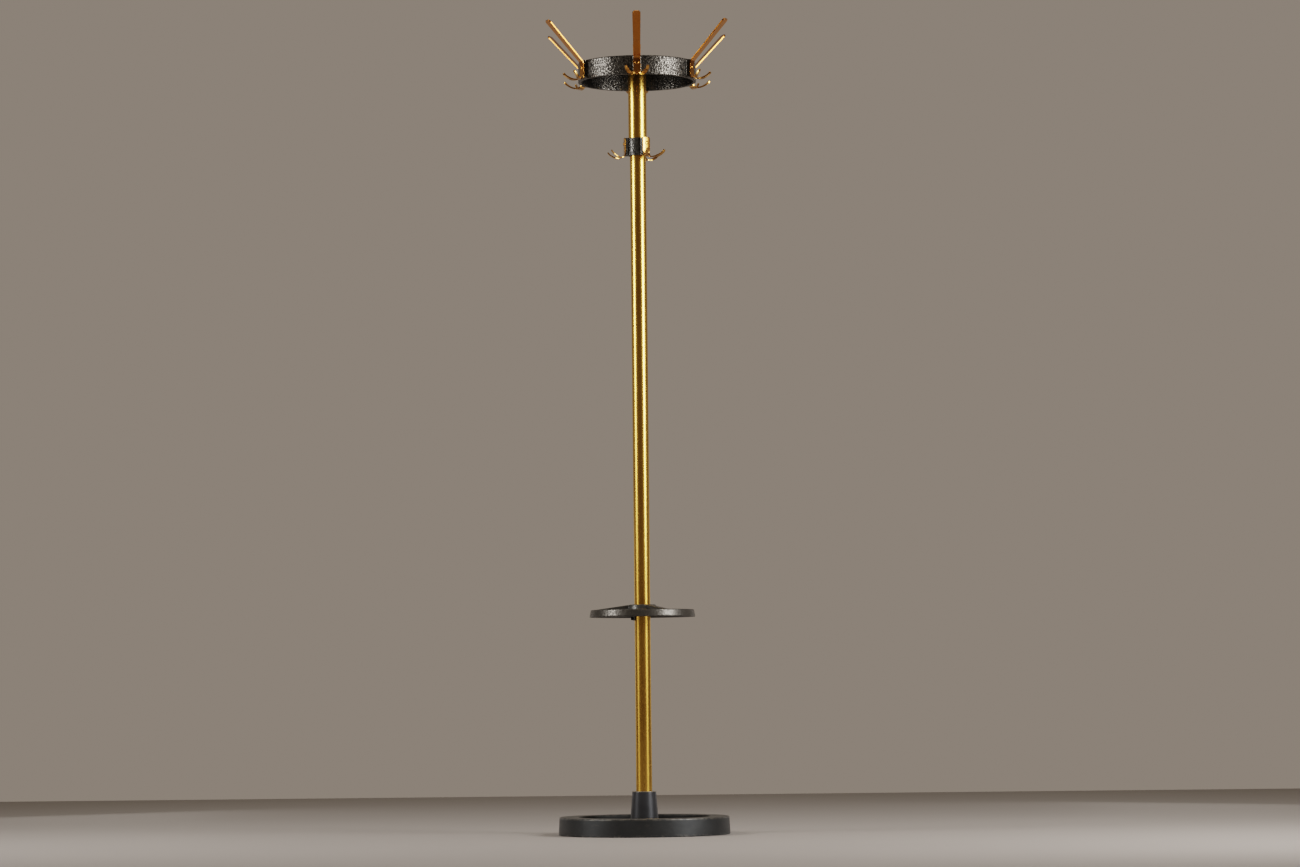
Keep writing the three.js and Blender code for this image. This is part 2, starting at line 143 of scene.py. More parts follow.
def add_world():
    """A taupe wall behind and a dark room in front. The camera sees the wall all round."""
    world = bpy.data.worlds.new("room")
    world.use_nodes = True
    bpy.context.scene.world = world
    tree = world.node_tree
    wall, room = (0.217, 0.187, 0.160, 1), (0.09, 0.068, 0.042, 1)
    axes = tree.nodes.new("ShaderNodeSeparateXYZ")
    place = tree.nodes.new("ShaderNodeTexCoord")
    tree.links.new(place.outputs["Generated"], axes.inputs[0])
    behind = tree.nodes.new("ShaderNodeMapRange")
    behind.inputs["From Min"].default_value = 0.25
    behind.inputs["From Max"].default_value = 0.85
    tree.links.new(axes.outputs["Y"], behind.inputs["Value"])
    light_path = tree.nodes.new("ShaderNodeLightPath")
    amount = tree.nodes.new("ShaderNodeMath")
    amount.operation = "MAXIMUM"
    tree.links.new(behind.outputs["Result"], amount.inputs[0])
    tree.links.new(light_path.outputs["Is Camera Ray"], amount.inputs[1])
    mix = tree.nodes.new("ShaderNodeMix")
    mix.data_type = "RGBA"
    for socket in mix.inputs:
        if socket.name == "A" and socket.type == "RGBA":
            socket.default_value = room
        if socket.name == "B" and socket.type == "RGBA":
            socket.default_value = wall
    tree.links.new(amount.outputs[0], mix.inputs["Factor"])
    result = next(s for s in mix.outputs if s.type == "RGBA")
    tree.links.new(result, tree.nodes["Background"].inputs["Color"])


def add_light():
    """Two tall soft boxes, dimmer towards the floor, a side fill, two weak low boxes behind, one overhead."""
    left, right, distance, width = -73, 60, 2.4, 0.9
    softbox("left_high", left, distance, 1.25, 2.5, width, 7.3)
    softbox("left_middle", left, distance, 0.85, 1.25, width, 3.5)
    softbox("left_low", left, distance, 0.0, 0.85, width, 0.6)
    softbox("right_high", right, distance, 1.05, 2.5, width, 9.8)
    softbox("right_middle", right, distance, 0.75, 1.05, width, 5.0)
    softbox("right_low", right, distance, 0.0, 0.75, width, 0.85)
    softbox("right_side", 80, distance, 1.2, 2.3, 0.35, 3.0)
    for name, azimuth in (("left_back", -140), ("right_back", 140)):
        softbox(name, azimuth, distance, 0.1, 0.8, width, 0.32)
    overhead("overhead", (0, -0.4, 4.2), 2.4, 0.7)


# ---- Finishes ----
class Finish:
    """A material under construction. Sizes are in millimetres of the object's own space."""

    def __init__(self, name, metallic, roughness):
        self.material = bpy.data.materials.new(name)
        self.material.use_nodes = True
        self.tree = self.material.node_tree
        self.surface = self.tree.nodes["Principled BSDF"]
        self.surface.inputs["Metallic"].default_value = metallic
        self.surface.inputs["Roughness"].default_value = roughness
        self.place = self.node("ShaderNodeTexCoord").outputs["Object"]

    def node(self, kind, inputs=None, **settings):
        made = self.tree.nodes.new(kind)
        for name, value in settings.items():
            setattr(made, name, value)
        for name, value in (inputs or {}).items():
            self.set(made.inputs[name], value)
        return made

    def set(self, socket, value):
        if isinstance(value, bpy.types.NodeSocket):
            self.tree.links.new(value, socket)
        else:
            socket.default_value = value

    def stretched(self, stretch):
        if stretch == (1, 1, 1):
            return self.place
        scale = tuple(1 / s for s in stretch)
        return self.node("ShaderNodeMapping", {"Vector": self.place, "Scale": scale}).outputs[0]

    def noise(self, size, detail=4, roughness=0.55, stretch=(1, 1, 1)):
        """Cloudy noise with features of this size."""
        inputs = {"Vector": self.stretched(stretch), "Scale": 1 / (size * MM), "Detail": detail,
                  "Roughness": roughness}
        return self.node("ShaderNodeTexNoise", inputs).outputs[0]

    def cells(self, size):
        """Rounded cells of this size, dark in their middles."""
        inputs = {"Vector": self.place, "Scale": 1 / (size * MM)}
        return self.node("ShaderNodeTexVoronoi", inputs).outputs["Distance"]

    def remap(self, value, low, high, to_low=0.0, to_high=1.0):
        inputs = {"Value": value, "From Min": low, "From Max": high, "To Min": to_low, "To Max": to_high}
        return self.node("ShaderNodeMapRange", inputs).outputs[0]

    def math(self, operation, first, second=0.0):
        made = self.node("ShaderNodeMath", operation=operation)
        self.set(made.inputs[0], first)
        self.set(made.inputs[1], second)
        return made.outputs[0]

    def mix(self, amount, first, second):
        made = self.node("ShaderNodeMix", data_type="RGBA")
        colours = [s for s in made.inputs if s.type == "RGBA"]
        self.set(made.inputs["Factor"], amount)
        self.set(colours[0], first)
        self.set(colours[1], second)
        return next(s for s in made.outputs if s.type == "RGBA")

    def along(self, axis):
        axes = self.node("ShaderNodeSeparateXYZ", {"Vector": self.place})
        return axes.outputs[axis]

    def radius(self):
        """The distance from the pole's axis, in metres."""
        level = self.node("ShaderNodeVectorMath", {0: self.place, 1: (1, 1, 0)}, operation="MULTIPLY")
        return self.node("ShaderNodeVectorMath", {0: level.outputs[0]}, operation="LENGTH").outputs["Value"]

    def bump(self, height, depth, onto=None):
        inputs = {"Height": height, "Distance": depth * MM, "Strength": 1.0}
        if onto is not None:
            inputs["Normal"] = onto
        return self.node("ShaderNodeBump", inputs).outputs[0]

    def finish(self, colour=None, roughness=None, normal=None):
        for name, value in (("Base Color", colour), ("Roughness", roughness), ("Normal", normal)):
            if value is not None:
                self.set(self.surface.inputs[name], value)
        return self.material


def gold_tube():
    """Drawn tube under a thin lacquer: faint lengthwise draw lines, clouding and small tarnish spots."""
    f = Finish("gold_tube", 1.0, 0.26)
    cloud = f.noise(60, 5, stretch=(1, 1, 3))
    lines = f.noise(1.2, 3, stretch=(1, 1, 60))
    spots = f.remap(f.noise(7, 2), 0.70, 0.78)
    gold = f.mix(cloud, (0.80, 0.50, 0.135, 1), (0.88, 0.58, 0.17, 1))
    gold = f.mix(f.math("MULTIPLY", spots, 0.6), gold, (0.35, 0.19, 0.05, 1))
    rough = f.remap(cloud, 0.3, 0.7, 0.24, 0.29)
    rough = f.math("ADD", rough, f.math("MULTIPLY", spots, 0.2))
    normal = f.bump(lines, 0.001)
    return f.finish(gold, rough, f.bump(f.noise(60, 1), 0.03, normal))


def brass():
    """Polished strip under a clear lacquer. The dark amber on the arms above the ring is painted shade for
    their darker reflections; the strip below keeps the brighter brass.
    """
    f = Finish("brass", 1.0, 0.22)
    f.surface.inputs["Coat Weight"].default_value = 0.7
    f.surface.inputs["Coat Roughness"].default_value = 0.12
    f.surface.inputs["Coat IOR"].default_value = 1.5
    cloud = f.noise(22, 4)
    scratches = f.noise(1.0, 2, stretch=(8, 1, 8))
    tarnish = f.remap(f.noise(16, 4, 0.6), 0.55, 0.75)
    # painted shade: above the ring the arms get a darker amber copy of the brass, for their darker
    # reflections
    painted_arm_shade = f.remap(f.along("Z"), (RING_LOW.z + 10) * MM, RING_HIGH.z * MM)
    bright_brass = f.mix(cloud, (0.66, 0.34, 0.085, 1), (0.76, 0.43, 0.13, 1))
    shaded_amber = f.mix(cloud, (0.42, 0.16, 0.018, 1), (0.52, 0.21, 0.03, 1))
    colour = f.mix(painted_arm_shade, bright_brass, shaded_amber)
    colour = f.mix(f.math("MULTIPLY", tarnish, 0.35), colour, (0.30, 0.11, 0.02, 1))
    rough = f.remap(cloud, 0.3, 0.7, 0.18, 0.27)
    return f.finish(colour, rough, f.bump(scratches, 0.003, f.bump(f.noise(18, 2), 0.04)))


def hammered_paint():
    """Dark silver-flecked enamel that dries in small round dimples, smoother on the lower casting, and
    lighter and rougher close to the pole."""
    f = Finish("hammered_paint", 0.6, 0.3)
    dimples = f.cells(3.8)
    flecks = f.noise(2.8, 3, 0.6)
    cloud = f.noise(40, 4)
    relief = f.remap(f.along("Z"), UMBRELLA_HIGH.z * MM, COLLAR_LOW.z * MM, 0.3, 1.0)
    near_pole = f.remap(f.radius(), UMBRELLA_HUB * MM, (UMBRELLA_HUB + 8) * MM, 1.0, 0.0)
    smooth = f.math("SUBTRACT", 1.0, relief)
    shade = f.mix(cloud, (0.080, 0.078, 0.076, 1), (0.120, 0.117, 0.114, 1))
    shade = f.mix(f.math("MULTIPLY", smooth, 0.6), shade, (0.16, 0.158, 0.156, 1))
    shade = f.mix(f.math("MULTIPLY", f.remap(flecks, 0.50, 0.62), relief), shade, (0.27, 0.265, 0.26, 1))
    shade = f.mix(f.math("MULTIPLY", f.remap(dimples, 0.50, 0.80), relief), shade, (0.025, 0.024, 0.024, 1))
    shade = f.mix(f.math("MULTIPLY", near_pole, 0.5), shade, (0.12, 0.128, 0.135, 1))
    rough = f.math("ADD", f.remap(dimples, 0.1, 0.8, 0.18, 0.38), f.math("MULTIPLY", near_pole, 0.04))
    rough = f.math("ADD", rough, f.math("MULTIPLY", smooth, 0.08))
    normal = f.bump(f.math("MULTIPLY", dimples, relief), 0.55)
    return f.finish(shade, rough, f.bump(f.math("MULTIPLY", flecks, relief), 0.07, normal))


def base_paint():
    """Satin dark grey paint over cast iron. The rim's top is lighter, partly paint rubbed through along its
    edges and partly painted highlight from light above; inside the dish the paint is duller and darkened with
    painted shade.
    """
    f = Finish("base_paint", 0.75, 0.42)
    grain = f.noise(1.6, 6, 0.7)
    cloud = f.noise(45, 5, 0.6)
    scuffs = f.remap(f.noise(16, 6, 0.7, stretch=(1, 1, 0.35)), 0.56, 0.70)
    radius, height = f.radius(), f.along("Z")
    # painted highlight with wear: the lighter band along the rim's top stands partly for light from above;
    # the foot's chips are real wear
    rim = f.remap(height, (BASE_HIGH.z - 5) * MM, (BASE_HIGH.z - 1.5) * MM)
    chips_and_rim_highlight = f.math("MULTIPLY", rim, f.remap(f.noise(12, 6, 0.7), 0.38, 0.56))
    foot = f.remap(height, 6 * MM, 0.5 * MM)
    chips = f.math("MULTIPLY", foot, f.remap(f.noise(6, 5, 0.7), 0.50, 0.60))
    outside = f.remap(radius, (BASE_HIGH.x - 9) * MM, (BASE_HIGH.x - 4) * MM)
    chips_and_rim_highlight = f.math("MAXIMUM", chips_and_rim_highlight, f.math("MULTIPLY", chips, outside))
    colour = f.mix(cloud, (0.092, 0.101, 0.113, 1), (0.130, 0.141, 0.155, 1))
    colour = f.mix(f.math("MULTIPLY", scuffs, 0.35), colour, (0.19, 0.19, 0.19, 1))
    colour = f.mix(f.math("MULTIPLY", grain, 0.12), colour, (0.03, 0.03, 0.03, 1))
    colour = f.mix(f.math("MULTIPLY", chips_and_rim_highlight, 0.6), colour, (0.30, 0.295, 0.285, 1))
    # painted shade: the inside of the dish is darkened, and also made rougher
    shaded_dull_dish = f.remap(radius, DISH_RADIUS * MM, (DISH_RADIUS + 4) * MM, 1.0, 0.0)
    colour = f.mix(f.math("MULTIPLY", shaded_dull_dish, 0.7), colour, (0.035, 0.036, 0.038, 1))
    rough = f.remap(cloud, 0.3, 0.7, 0.38, 0.48)
    rough = f.math("ADD", rough, f.math("MULTIPLY", shaded_dull_dish, 0.22))
    return f.finish(colour, rough, f.bump(grain, 0.06, f.bump(f.noise(14, 3), 0.3)))


def socket_paint():
    """Satin blue-grey enamel with a faint orange peel, rubbed bright round the mouth."""
    f = Finish("socket_paint", 0.5, 0.36)
    cloud = f.noise(22, 4)
    mouth = f.remap(f.along("Z"), (SOCKET_HIGH.z - 1.6) * MM, (SOCKET_HIGH.z - 0.6) * MM)
    colour = f.mix(cloud, (0.098, 0.106, 0.126, 1), (0.130, 0.140, 0.162, 1))
    colour = f.mix(f.math("MULTIPLY", mouth, 0.7), colour, (0.50, 0.46, 0.38, 1))
    rough = f.remap(cloud, 0.3, 0.7, 0.32, 0.40)
    return f.finish(colour, rough, f.bump(f.noise(2.2, 3), 0.03))


def steel():
    """Zinc-plated steel with a slight mottle."""
    f = Finish("zinc_steel", 1.0, 0.38)
    mottle = f.cells(3.0)
    colour = f.mix(mottle, (0.42, 0.42, 0.43, 1), (0.60, 0.59, 0.56, 1))
    rough = f.remap(mottle, 0.1, 0.7, 0.32, 0.48)
    return f.finish(colour, rough, f.bump(f.noise(0.8, 3), 0.03))


def black_steel():
    """Blackened screw steel, worn on its edges."""
    f = Finish("black_steel", 0.8, 0.4)
    wear = f.remap(f.noise(1.8, 5, 0.7), 0.55, 0.70)
    colour = f.mix(f.math("MULTIPLY", wear, 0.6), (0.015, 0.015, 0.016, 1), (0.12, 0.12, 0.12, 1))
    rough = f.remap(wear, 0, 1, 0.42, 0.30)
    return f.finish(colour, rough, f.bump(f.noise(1.0, 3), 0.04))


def nylon():
    """Natural nylon with light machining marks."""
    f = Finish("nylon", 0.0, 0.55)
    cloud = f.noise(6, 4)
    colour = f.mix(cloud, (0.62, 0.59, 0.50, 1), (0.72, 0.70, 0.62, 1))
    marks = f.noise(0.8, 2, stretch=(9, 9, 1))
    return f.finish(colour, f.remap(cloud, 0.3, 0.7, 0.48, 0.62), f.bump(marks, 0.03))


def black_plastic():
    """Fine-grained black moulding."""
    f = Finish("black_plastic", 0.0, 0.45)
    grain = f.cells(0.7)
    cloud = f.noise(9, 4)
    colour = f.mix(cloud, (0.016, 0.016, 0.018, 1), (0.030, 0.030, 0.032, 1))
    return f.finish(colour, f.remap(cloud, 0.3, 0.7, 0.40, 0.52), f.bump(grain, 0.05))


FINISHES = {
    "gold_tube": gold_tube(),
    "brass": brass(),
    "hammered_paint": hammered_paint(),
    "base_paint": base_paint(),
    "socket_paint": socket_paint(),
    "steel": steel(),
    "black_steel": black_steel(),
    "nylon": nylon(),
    "black_plastic": black_plastic(),
}


# ---- Mesh work ----
def mesh_object(name, shape):
    """A new object from (points in millimetres, faces)."""
    points, faces = shape
    mesh = bpy.data.meshes.new(name)
    mesh.from_pydata([Vector(p) * MM for p in points], [], faces)
    made = bpy.data.objects.new(name, mesh)
    bpy.context.scene.collection.objects.link(made)
    return made


def apply_modifiers(piece):
    graph = bpy.context.evaluated_depsgraph_get()
    final = bpy.data.meshes.new_from_object(piece.evaluated_get(graph))
    before = piece.data
    piece.modifiers.clear()
    piece.data = final
    bpy.data.meshes.remove(before)


def displace(piece, height):
    """Moves every point along its normal by height(point), in millimetres."""
    moves = [v.normal * (height(v.co / MM) * MM) for v in piece.data.vertices]
    for vertex, move in zip(piece.data.vertices, moves):
        vertex.co += move
    piece.data.update()


def settle(piece, body, slot, *nodes):
    """Smooth shading, finish, body and the CAD nodes that the piece stands for."""
    piece.data.polygons.foreach_set("use_smooth", [True] * len(piece.data.polygons))
    piece.data.materials.clear()
    piece.data.materials.append(FINISHES[slot])
    even = piece.modifiers.new("even_normals", "WEIGHTED_NORMAL")
    even.keep_sharp = True
    apply_modifiers(piece)
    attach(piece, body)
    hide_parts(*nodes)
    return piece


def join(*shapes):
    points, faces = [], []
    for more_points, more_faces in shapes:
        start = len(points)
        points += list(more_points)
        faces += [tuple(i + start for i in face) for face in more_faces]
    return points, faces


def rounded(corners, steps=4, longest=1e9):
    """A closed outline of (radius, height) points from (radius, height, fillet) corners."""
    outline = []
    for i, (radius, height, fillet, *kind) in enumerate(corners):
        here = Vector((radius, height))
        if fillet <= 0:
            outline.append((radius, height, *kind))
            continue
        to_last = (Vector(corners[i - 1][:2]) - here).normalized()
        to_next = (Vector(corners[(i + 1) % len(corners)][:2]) - here).normalized()
        half = to_last.angle(to_next) / 2
        centre = here + (to_last + to_next).normalized() * (fillet / math.sin(half))
        start = here + to_last * (fillet / math.tan(half)) - centre
        end = here + to_next * (fillet / math.tan(half)) - centre
        sweep = start.angle_signed(end)
        for k in range(steps + 1):
            turn = -sweep * k / steps
            x = start.x * math.cos(turn) - start.y * math.sin(turn)
            y = start.x * math.sin(turn) + start.y * math.cos(turn)
            outline.append((centre.x + x, centre.y + y, *kind))
    split = []
    for i, here in enumerate(outline):
        after = outline[(i + 1) % len(outline)]
        length = math.hypot(after[0] - here[0], after[1] - here[1])
        pieces = max(1, math.ceil(length / longest))
        for k in range(pieces):
            t = k / pieces
            mid = (here[0] + (after[0] - here[0]) * t, here[1] + (after[1] - here[1]) * t)
            split.append((*mid, *here[2:]))
    return split


def lathe(outline, segments):
    """Points and faces of a body of revolution about Z. The outline is a closed loop of (radius, height),
    anticlockwise with radius to the right. A third value makes that ring a polygon of so many sides."""
    points, rings = [], []
    for radius, height, *sides in outline:
        if radius < 1e-6:
            rings.append([len(points)])
            points.append(Vector((0, 0, height)))
            continue
        ring = []
        for k in range(segments):
            angle = 2 * math.pi * k / segments
            reach = radius
            if sides:
                sector = 2 * math.pi / sides[0]
                reach = radius / math.cos((angle + sector / 2) % sector - sector / 2)
            ring.append(len(points))
            points.append(Vector((reach * math.cos(angle), reach * math.sin(angle), height)))
        rings.append(ring)
    faces = []
    for i, ring in enumerate(rings):
        after = rings[(i + 1) % len(rings)]
        if len(ring) == 1 and len(after) == 1:
            continue
        for k in range(segments):
            n = (k + 1) % segments
            if len(ring) == 1:
                faces.append((ring[0], after[n], after[k]))
            elif len(after) == 1:
                faces.append((ring[k], ring[n], after[0]))
            else:
                faces.append((ring[k], ring[n], after[n], after[k]))
    return points, faces


def placed(azimuth, across, out, up):
    """The point at this distance across and out from the axis, on the side that faces the azimuth."""
    angle = math.radians(azimuth)
    return Vector((across * math.cos(angle) + out * math.sin(angle),
                   across * math.sin(angle) - out * math.cos(angle), up))


def along_radius(shape, azimuth, height):
    """A body of revolution laid along a radius, so that its height becomes a distance from the axis."""
    points, faces = shape
    return [placed(azimuth, p.x, p.z, height - p.y) for p in points], faces


def radial_prism(azimuth, outline, width):
    """An outline in (distance from the axis, height), as thick as width across the radius."""
    count = len(outline)
    points = [placed(azimuth, side * width / 2, r, z) for side in (-1, 1) for r, z in outline]
    faces = [tuple(range(count)), tuple(reversed(range(count, 2 * count)))]
    faces += [(i, i + count, (i + 1) % count + count, (i + 1) % count) for i in range(count)]
    return points, faces


def radial_block(azimuth, inner, outer, width, bottom, top):
    return radial_prism(azimuth, [(inner, bottom), (outer, bottom), (outer, top), (inner, top)], width)


def casting(name, voxel, relax, *shapes):
    """Overlapping closed shapes fused into one skin with soft inside and outside corners."""
    piece = mesh_object(name, join(*shapes))
    fuse = piece.modifiers.new("fuse", "REMESH")
    fuse.mode = "VOXEL"
    fuse.voxel_size = voxel * MM
    soften = piece.modifiers.new("soften", "SMOOTH")
    soften.factor = 0.5
    soften.iterations = relax
    apply_modifiers(piece)
    return piece


def dimpled(cell, depth, clear_radius):
    """Hammer-finish dimples, none of them inside the bore."""
    def height(point):
        if math.hypot(point.x, point.y) < clear_radius:
            return 0
        nearest = noise.voronoi(point / cell)[0][0]
        return depth * (min(nearest, 0.8) - 0.5)
    return height


# ---- Stand ----
DISH_FLOOR = 18
CASTING_WALL = 8
PLATE = 7
BOLT_HOLE = 5.8
TUBE_WALL = 1.5


def base_casting():
    foot, top = BASE_HIGH.x, BASE_HIGH.z
    rim = foot - 2
    hollow = DISH_RADIUS + CASTING_WALL
    outline = rounded([
        (BOLT_HOLE, DISH_FLOOR - PLATE, 0.4),
        (hollow, DISH_FLOOR - PLATE, 3),
        (hollow + 1, top - CASTING_WALL, 4),
        (rim - CASTING_WALL, top - CASTING_WALL, 4),
        (foot - CASTING_WALL - 1, 0, 1.2),
        (foot, 0, 1.6),
        (rim, top, 2.6),
        (DISH_RADIUS, top, 3),
        (DISH_RADIUS - 2, DISH_FLOOR, 5),
        (BOLT_HOLE, DISH_FLOOR, 0.4),
    ], 5, 4)
    piece = mesh_object("base_casting_skin", lathe(outline, 288))

    def sand(point):
        rough = noise.fractal(point / 7, 0.8, 2.2, 4) * 0.10 + noise.noise(point / 45) * 0.25
        resting = min(1, max(0, point.z / 3))
        return min(rough, 0.1) * resting if point.x ** 2 + point.y ** 2 > 40 ** 2 else 0

    displace(piece, sand)
    settle(piece, "stand", "base_paint", "base_casting")


def pole_socket():
    top, bottom = SOCKET_HIGH.z, SOCKET_LOW.z
    top_radius = 26
    bore = POLE_HIGH.x + 0.3
    outline = rounded([
        (BOLT_HOLE, bottom, 0),
        (SOCKET_HIGH.x, bottom, 0.8),
        (top_radius, top, 1.6),
        (bore, top, 0.7),
        (bore, bottom + 6, 0),
        (BOLT_HOLE, bottom + 6, 0),
    ], 6, 8)
    settle(mesh_object("pole_socket_skin", lathe(outline, 128)), "stand", "socket_paint", "pole_socket")


def tube(name, body, node, slot):
    low, high = span(node)
    outline = rounded([
        (high.x - TUBE_WALL, low.z, 0.3),
        (high.x, low.z, 0.4),
        (high.x, high.z, 0.4),
        (high.x - TUBE_WALL, high.z, 0.3),
    ], 3, 30)
    settle(mesh_object(name, lathe(outline, 128)), body, slot, node)


def base_bolt():
    """A hexagon-headed bolt with a chamfered head, its washer and the thread's cut lead."""
    low, high = BOLT_LOW.z, BOLT_HIGH.z
    head_top = low + 6
    flats = 8.0
    outline = [(0, low), (flats * 0.9, low), (flats, low + 0.7, 6), (flats, head_top, 6), (5, head_top)]
    pitch = 1.5
    turns = int((high - 2 - (head_top + 12)) / pitch)
    for i in range(turns):
        foot = head_top + 12 + i * pitch
        outline += [(4.95, foot), (4.1, foot + pitch / 2)]
    outline += [(4.9, high - 1), (4.0, high), (0, high)]
    settle(mesh_object("base_bolt_fine", lathe(outline, 48)), "stand", "steel", "base_bolt")
    inner, outer = 5.3, WASHER_HIGH.x
    ring = rounded([
        (inner, WASHER_LOW.z, 0.2),
        (outer, WASHER_LOW.z, 0.6),
        (outer, WASHER_HIGH.z, 0.4),
        (inner, WASHER_HIGH.z, 0.2),
    ], 3)
    settle(mesh_object("base_washer_fine", lathe(ring, 64)), "stand", "steel", "base_washer")


# ---- Hooks ----
PRONG_HALF = 4.2
PRONG_TIP_HALF = 2.8
PRONG_ROUTE = [(4.3, 0, 14), (4.3, 0, 9), (4.6, 3.4, 2.4), (7.2, 10.2, 0), (14.5, 17.5, 1), (20, 25.2, 5.4),
               (23, 30.8, 10.2), (24.2, 34, 14.5)]
PRONG_TAPER = 22
CROTCH_RADIUS = 2.2
TIP_CORNER = 1.6
HAT_STRAP_RADIUS = 138.8
HAT_THICKNESS = 3
HAT_LOWEST = 1656.5
COAT_STRAP_RADIUS = 29.3
COAT_THICKNESS = 2
COAT_LOWEST = 1490
HAT_RIVET = (1682, 2.5, 4.5, 2.0)  # height, shank radius, head radius, dome
COAT_RIVET = (1521, 2, 3.8, 1.6)


def smooth_route(points, steps):
    """Points and directions on a smooth curve through the given ones, steps to each stretch."""
    points = [Vector(p) for p in points]
    ends = [points[0] * 2 - points[1], *points, points[-1] * 2 - points[-2]]
    made = []
    for i in range(1, len(ends) - 2):
        before, here, after, beyond = ends[i - 1], ends[i], ends[i + 1], ends[i + 2]
        length = (after - here).length
        start = ((after - before) / ((after - here).length + (here - before).length)) * length
        end = ((beyond - here) / ((beyond - after).length + (after - here).length)) * length
        for k in range(steps):
            t = k / steps
            a, b, c, d = 2 * t**3 - 3 * t**2 + 1, t**3 - 2 * t**2 + t, 3 * t**2 - 2 * t**3, t**3 - t**2
            made.append(here * a + start * b + after * c + end * d)
    made.append(points[-1])
    last = len(made) - 1
    directions = [(made[min(i + 1, last)] - made[max(i - 1, 0)]).normalized() for i in range(last + 1)]
    return list(zip(made, directions))


def prong_rows(radius, lowest):
    """The rows of one prong below the strap, each its inner and outer edge point. The prongs part in a
    rounded crotch under the strap, and their tips are blunt."""
    route = smooth_route([(across, radius + out, lowest + up) for across, out, up in PRONG_ROUTE], 12)
    route = [(p, d) for p, d in route if p.z < lowest + 9 or p.y > radius + 2]
    end, heading = route[-1]
    route = [(p, d) for p, d in route if (end - p).length > TIP_CORNER + 0.5]
    route += [(end - heading * left, heading) for left in (TIP_CORNER, TIP_CORNER / 2, TIP_CORNER / 6, 0)]
    rows = []
    for point, direction in route:
        thick = Vector((0, -direction.z, direction.y)).normalized()
        wide = direction.cross(thick).normalized()
        if wide.x < 0:
            wide = -wide
        missing = max(0.0, TIP_CORNER - (end - point).length)
        taper = min(1.0, (end - point).length / PRONG_TAPER)
        half = PRONG_TIP_HALF + (PRONG_HALF - PRONG_TIP_HALF) * taper
        half -= TIP_CORNER - math.sqrt(TIP_CORNER**2 - missing**2)
        inner, outer = point - wide * half, point + wide * half
        clear = max(0.0, inner.x - CROTCH_RADIUS)
        if point.y < radius + 20:
            across = math.sqrt(clear * (clear + 2 * CROTCH_RADIUS))
            inner = inner.lerp(outer, (across - inner.x) / (outer.x - inner.x))
        rows.append((inner, outer))
    return rows


def hook_object(name, azimuth, strap_rows, radius, lowest, thickness, swell=0):
    """A strip whose lower end is slit into two prongs. Each row is (inner edge, outer edge) of its right
    half. The strip is made as a mid-surface, thickened, and its edges rounded. The strap swells outward
    along its middle, and flattens again towards the prongs."""
    rows = strap_rows + prong_rows(radius, lowest)
    columns = 6
    points, faces, known = [], [], {}

    def index(point):
        key = tuple(round(c, 4) for c in point)
        if key not in known:
            known[key] = len(points)
            points.append(placed(azimuth, *point))
        return known[key]

    for side in (1, -1):
        grid = []
        for i, (inner, outer) in enumerate(rows):
            line = [Vector(inner).lerp(Vector(outer), j / columns) for j in range(columns + 1)]
            rise = swell * min(1, max(0, len(strap_rows) - 1 - i) / 4)
            for j, p in enumerate(line):
                p.y += rise * (1 - (j / columns) ** 2)
            grid.append([index((side * p.x, p.y, p.z)) for p in line])
        for first, second in zip(grid, grid[1:]):
            for j in range(columns):
                face = (first[j], first[j + 1], second[j + 1], second[j])
                faces.append(face if side == 1 else face[::-1])
    piece = mesh_object(name, (points, faces))
    thick = piece.modifiers.new("thick", "SOLIDIFY")
    thick.thickness = thickness * MM
    thick.offset = 0
    thick.use_even_offset = True
    round_edges = piece.modifiers.new("round", "BEVEL")
    round_edges.width = 0.55 * MM
    round_edges.segments = 3
    round_edges.limit_method = "ANGLE"
    round_edges.angle_limit = math.radians(50)
    apply_modifiers(piece)
    return piece


def strap_row(half, out, up):
    return (0, out, up), (half, out, up)


def hat_hook(number, azimuth):
    """An arm up and out, a bend, and a strap down the ring's pad."""
    reach, top = -FRONT_HOOK_LOW.y, FRONT_HOOK_HIGH.z
    bend, bend_length = 1693, 7
    half, waist, tip_half, chamfer = 8.25, 7.3, 8.9, 4
    radius = HAT_STRAP_RADIUS
    arm = Vector((reach - radius, top - bend)).normalized()
    tip = Vector((reach, top)) - Vector((1.25, 1.0))
    start = Vector((radius, bend)) + arm * bend_length
    rows = []
    length = (tip - start).length
    stations = [0, 1.5, chamfer, 8, *[16 + 12 * i for i in range(int((length - 18) / 12))], length]
    for distance in stations:
        point = tip + (start - tip) * (distance / length)
        widening = tip_half + (waist - tip_half) * distance / length
        width = min(widening, tip_half - chamfer + distance)
        rows.append(strap_row(width, point.x, point.y))
    corner, end = Vector((radius, bend)), Vector((radius, bend - bend_length))
    for k in range(1, 9):
        t = k / 8
        point = start.lerp(corner, t).lerp(corner.lerp(end, t), t)
        rows.append(strap_row(waist + (half - waist) * t, point.x, point.y))
    strap_end = HAT_LOWEST + 10.5
    for k in range(1, 5):
        rows.append(strap_row(half, radius, end.y + (strap_end - end.y) * k / 4))
    name = f"hat_hook_{number}_fine"
    piece = hook_object(name, azimuth, rows, radius, HAT_LOWEST, HAT_THICKNESS)
    settle(piece, "head", "brass", f"hat_hook_{number}")
    seat = radius + HAT_THICKNESS / 2 + 0.3
    rivet(f"hat_hook_rivet_{number}", azimuth, HAT_RIVET, 123.2, seat, True)


